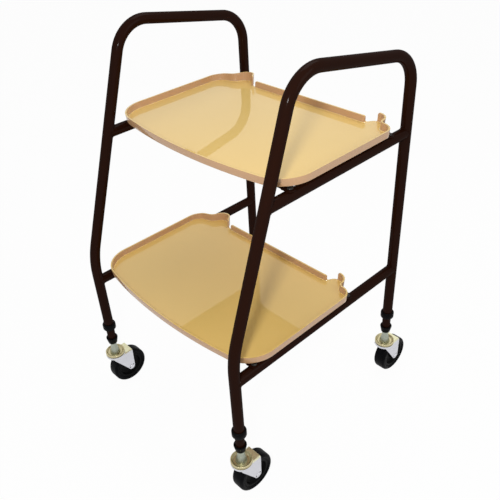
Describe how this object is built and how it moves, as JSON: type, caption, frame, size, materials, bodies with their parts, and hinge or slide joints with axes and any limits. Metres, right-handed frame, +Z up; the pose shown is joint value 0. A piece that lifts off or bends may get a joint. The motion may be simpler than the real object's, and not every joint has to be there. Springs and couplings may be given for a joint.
{
  "type": "serving trolley",
  "caption": "Two-tier serving trolley with bent tube hoops, lift-off beige trays with wavy stick holders and telescopic legs on swivel casters.",
  "frame": {"origin": "on the floor under the middle of the trolley's bounding box, casters trailing to the rear", "axes": "+Z up; -Y the bowed front edges of the trays; +X the side with the narrower stick holder"},
  "size_m": [0.4942, 0.568, 0.8528],
  "materials": {
    "frame_coating": "gloss dark brown coating",
    "beige_plastic": "gloss beige moulding",
    "black_plastic": "satin black moulding",
    "nylon": "natural nylon",
    "black_fastener": "black coated steel",
    "zinc": "yellowish zinc plating",
    "bearing_steel": "polished steel",
    "wheel_plastic": "satin black moulding",
    "tyre_rubber": "satin black rubber"
  },
  "bodies": {
    "frame": {"left_hoop": "frame_coating", "right_hoop": "frame_coating", "upper_left_rail": "frame_coating", "upper_right_rail": "frame_coating", "lower_left_rail": "frame_coating", "lower_right_rail": "frame_coating", "upper_front_bar": "frame_coating", "upper_rear_bar": "frame_coating", "lower_front_bar": "frame_coating", "lower_rear_bar": "frame_coating", "cross_bar_bolts": "black_fastener", "cross_bar_nuts": "black_fastener", "leg_stop_plugs": "black_plastic"},
    "upper_tray": {"upper_tray": "beige_plastic"},
    "lower_tray": {"lower_tray": "beige_plastic"},
    "front_left_collar": {"front_left_twist_collar": "black_plastic", "front_left_grip_ring": "nylon"},
    "front_left_leg": {"front_left_leg_tube": "frame_coating", "front_left_caster_socket": "black_plastic", "front_left_caster_stem": "zinc", "front_left_swivel_race": "zinc"},
    "front_left_swivel": {"front_left_caster_fork": "zinc", "front_left_wheel_axle": "zinc", "front_left_bearing_balls": "bearing_steel"},
    "front_left_wheel": {"front_left_wheel_core": "wheel_plastic", "front_left_wheel_tyre": "tyre_rubber"},
    "front_right_collar": {"front_right_twist_collar": "black_plastic", "front_right_grip_ring": "nylon"},
    "front_right_leg": {"front_right_leg_tube": "frame_coating", "front_right_caster_socket": "black_plastic", "front_right_caster_stem": "zinc", "front_right_swivel_race": "zinc"},
    "front_right_swivel": {"front_right_caster_fork": "zinc", "front_right_wheel_axle": "zinc", "front_right_bearing_balls": "bearing_steel"},
    "front_right_wheel": {"front_right_wheel_core": "wheel_plastic", "front_right_wheel_tyre": "tyre_rubber"},
    "rear_left_collar": {"rear_left_twist_collar": "black_plastic", "rear_left_grip_ring": "nylon"},
    "rear_left_leg": {"rear_left_leg_tube": "frame_coating", "rear_left_caster_socket": "black_plastic", "rear_left_caster_stem": "zinc", "rear_left_swivel_race": "zinc"},
    "rear_left_swivel": {"rear_left_caster_fork": "zinc", "rear_left_wheel_axle": "zinc", "rear_left_bearing_balls": "bearing_steel"},
    "rear_left_wheel": {"rear_left_wheel_core": "wheel_plastic", "rear_left_wheel_tyre": "tyre_rubber"},
    "rear_right_collar": {"rear_right_twist_collar": "black_plastic", "rear_right_grip_ring": "nylon"},
    "rear_right_leg": {"rear_right_leg_tube": "frame_coating", "rear_right_caster_socket": "black_plastic", "rear_right_caster_stem": "zinc", "rear_right_swivel_race": "zinc"},
    "rear_right_swivel": {"rear_right_caster_fork": "zinc", "rear_right_wheel_axle": "zinc", "rear_right_bearing_balls": "bearing_steel"},
    "rear_right_wheel": {"rear_right_wheel_core": "wheel_plastic", "rear_right_wheel_tyre": "tyre_rubber"}
  },
  "joints": [
    {"name": "upper_tray_lift", "type": "slide", "parent": "frame", "child": "upper_tray", "axis": [0, 0, 1], "range_m": [0, 0.035]},
    {"name": "lower_tray_lift", "type": "slide", "parent": "frame", "child": "lower_tray", "axis": [0, 0, 1], "range_m": [0, 0.035]},
    {"name": "front_left_collar_twist", "type": "hinge", "parent": "frame", "child": "front_left_collar", "pos_m": [-0.2246, -0.26155, 0.186], "axis": [0, 0, 1], "range_deg": [0, 90]},
    {"name": "front_left_leg_slide", "type": "slide", "parent": "frame", "child": "front_left_leg", "axis": [0, 0, -1], "range_m": [0, 0.075]},
    {"name": "front_left_swivel", "type": "hinge", "parent": "front_left_leg", "child": "front_left_swivel", "pos_m": [-0.2246, -0.26155, 0.103], "axis": [0, 0, 1], "continuous": true},
    {"name": "front_left_wheel_spin", "type": "hinge", "parent": "front_left_swivel", "child": "front_left_wheel", "pos_m": [-0.2246, -0.23555, 0.044], "axis": [1, 0, 0], "continuous": true},
    {"name": "front_right_collar_twist", "type": "hinge", "parent": "frame", "child": "front_right_collar", "pos_m": [0.2246, -0.26155, 0.186], "axis": [0, 0, 1], "range_deg": [0, 90]},
    {"name": "front_right_leg_slide", "type": "slide", "parent": "frame", "child": "front_right_leg", "axis": [0, 0, -1], "range_m": [0, 0.075]},
    {"name": "front_right_swivel", "type": "hinge", "parent": "front_right_leg", "child": "front_right_swivel", "pos_m": [0.2246, -0.26155, 0.103], "axis": [0, 0, 1], "continuous": true},
    {"name": "front_right_wheel_spin", "type": "hinge", "parent": "front_right_swivel", "child": "front_right_wheel", "pos_m": [0.2246, -0.23555, 0.044], "axis": [1, 0, 0], "continuous": true},
    {"name": "rear_left_collar_twist", "type": "hinge", "parent": "frame", "child": "rear_left_collar", "pos_m": [-0.2246, 0.21405, 0.186], "axis": [0, 0, 1], "range_deg": [0, 90]},
    {"name": "rear_left_leg_slide", "type": "slide", "parent": "frame", "child": "rear_left_leg", "axis": [0, 0, -1], "range_m": [0, 0.075]},
    {"name": "rear_left_swivel", "type": "hinge", "parent": "rear_left_leg", "child": "rear_left_swivel", "pos_m": [-0.2246, 0.21405, 0.103], "axis": [0, 0, 1], "continuous": true},
    {"name": "rear_left_wheel_spin", "type": "hinge", "parent": "rear_left_swivel", "child": "rear_left_wheel", "pos_m": [-0.2246, 0.24005, 0.044], "axis": [1, 0, 0], "continuous": true},
    {"name": "rear_right_collar_twist", "type": "hinge", "parent": "frame", "child": "rear_right_collar", "pos_m": [0.2246, 0.21405, 0.186], "axis": [0, 0, 1], "range_deg": [0, 90]},
    {"name": "rear_right_leg_slide", "type": "slide", "parent": "frame", "child": "rear_right_leg", "axis": [0, 0, -1], "range_m": [0, 0.075]},
    {"name": "rear_right_swivel", "type": "hinge", "parent": "rear_right_leg", "child": "rear_right_swivel", "pos_m": [0.2246, 0.21405, 0.103], "axis": [0, 0, 1], "continuous": true},
    {"name": "rear_right_wheel_spin", "type": "hinge", "parent": "rear_right_swivel", "child": "rear_right_wheel", "pos_m": [0.2246, 0.24005, 0.044], "axis": [1, 0, 0], "continuous": true}
  ]
}
